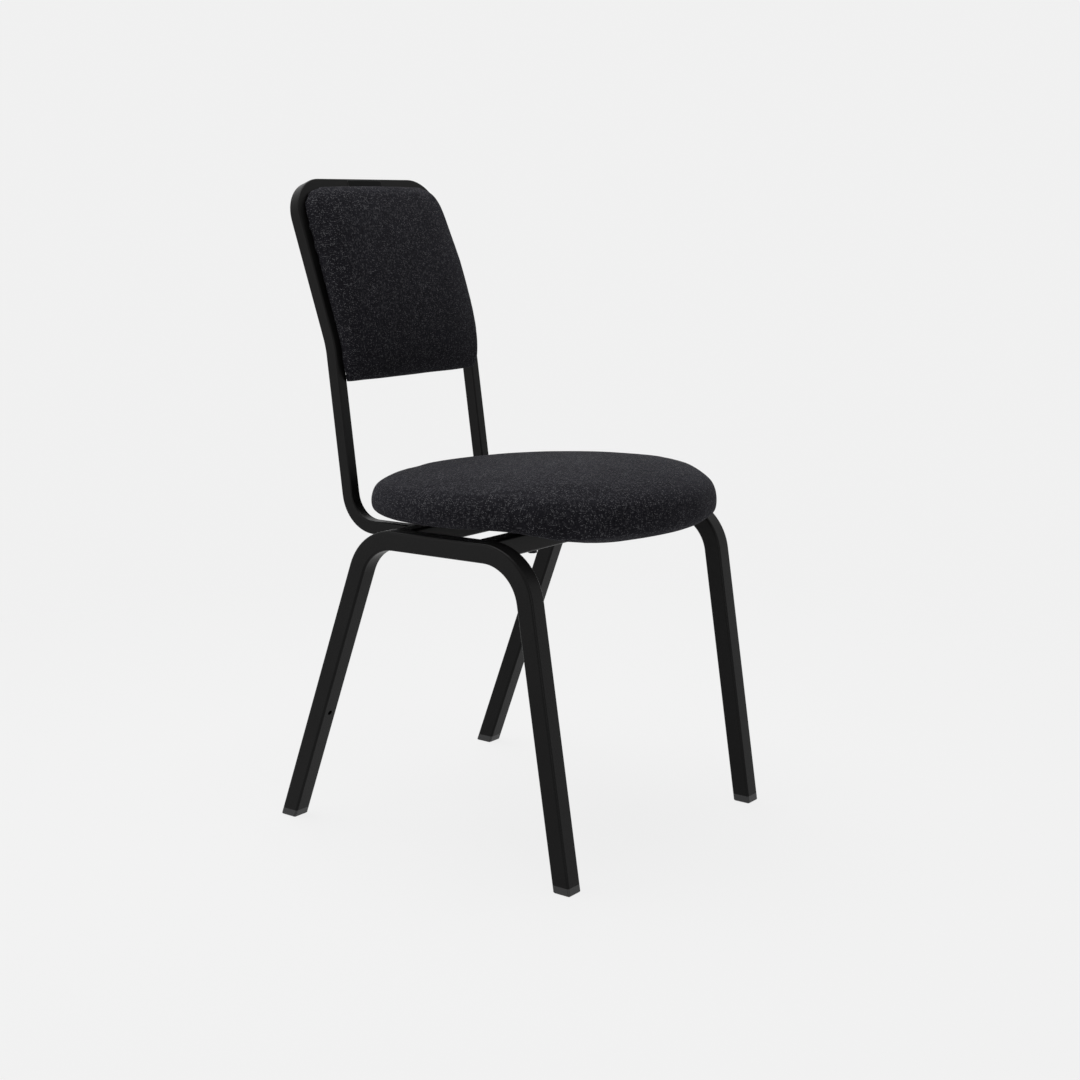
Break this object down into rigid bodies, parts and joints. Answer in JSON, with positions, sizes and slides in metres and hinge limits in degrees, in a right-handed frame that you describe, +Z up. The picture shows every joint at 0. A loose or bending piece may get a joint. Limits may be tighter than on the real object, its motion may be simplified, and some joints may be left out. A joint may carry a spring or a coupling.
{
  "type": "stacking chair",
  "caption": "Armless stacking chair: bent square-tube side frames, a hoop back frame, a round padded seat and a padded backrest in dark woven fabric",
  "frame": {"origin": "on the floor, under the middle of the chair's overall width and depth", "axes": "+X is to the sitter's left, -Y is the way the sitter faces, +Z is up. left and right in node names are as seen from the front"},
  "size_m": [0.4552, 0.5565, 0.8535],
  "materials": {
    "powder_steel": "satin black powder coat",
    "cap_plastic": "moulded black plastic",
    "pan_plastic": "moulded plastic shell",
    "plywood": "bare moulded plywood",
    "foam": "open-cell foam",
    "upholstery": "dark woven fabric with fine light flecks",
    "lining_cloth": "thin black lining cloth",
    "zinc_steel": "zinc plate"
  },
  "bodies": {
    "root": {"side_frame_left": "powder_steel", "side_frame_right": "powder_steel", "front_crossbar": "powder_steel", "rear_crossbar": "powder_steel", "back_frame": "powder_steel", "back_tabs": "powder_steel", "foot_cap_front_left": "cap_plastic", "foot_cap_front_right": "cap_plastic", "foot_cap_rear_left": "cap_plastic", "foot_cap_rear_right": "cap_plastic", "seat_pan": "pan_plastic", "back_board": "plywood", "seat_foam": "foam", "back_foam": "foam", "seat_cover": "upholstery", "back_cover": "upholstery", "seat_lining": "lining_cloth", "back_lining": "lining_cloth", "seat_bolts": "zinc_steel", "seat_washers": "zinc_steel", "seat_tee_nuts": "zinc_steel", "back_screws": "zinc_steel", "back_washers": "zinc_steel", "back_tee_nuts": "zinc_steel"}
  },
  "joints": []
}
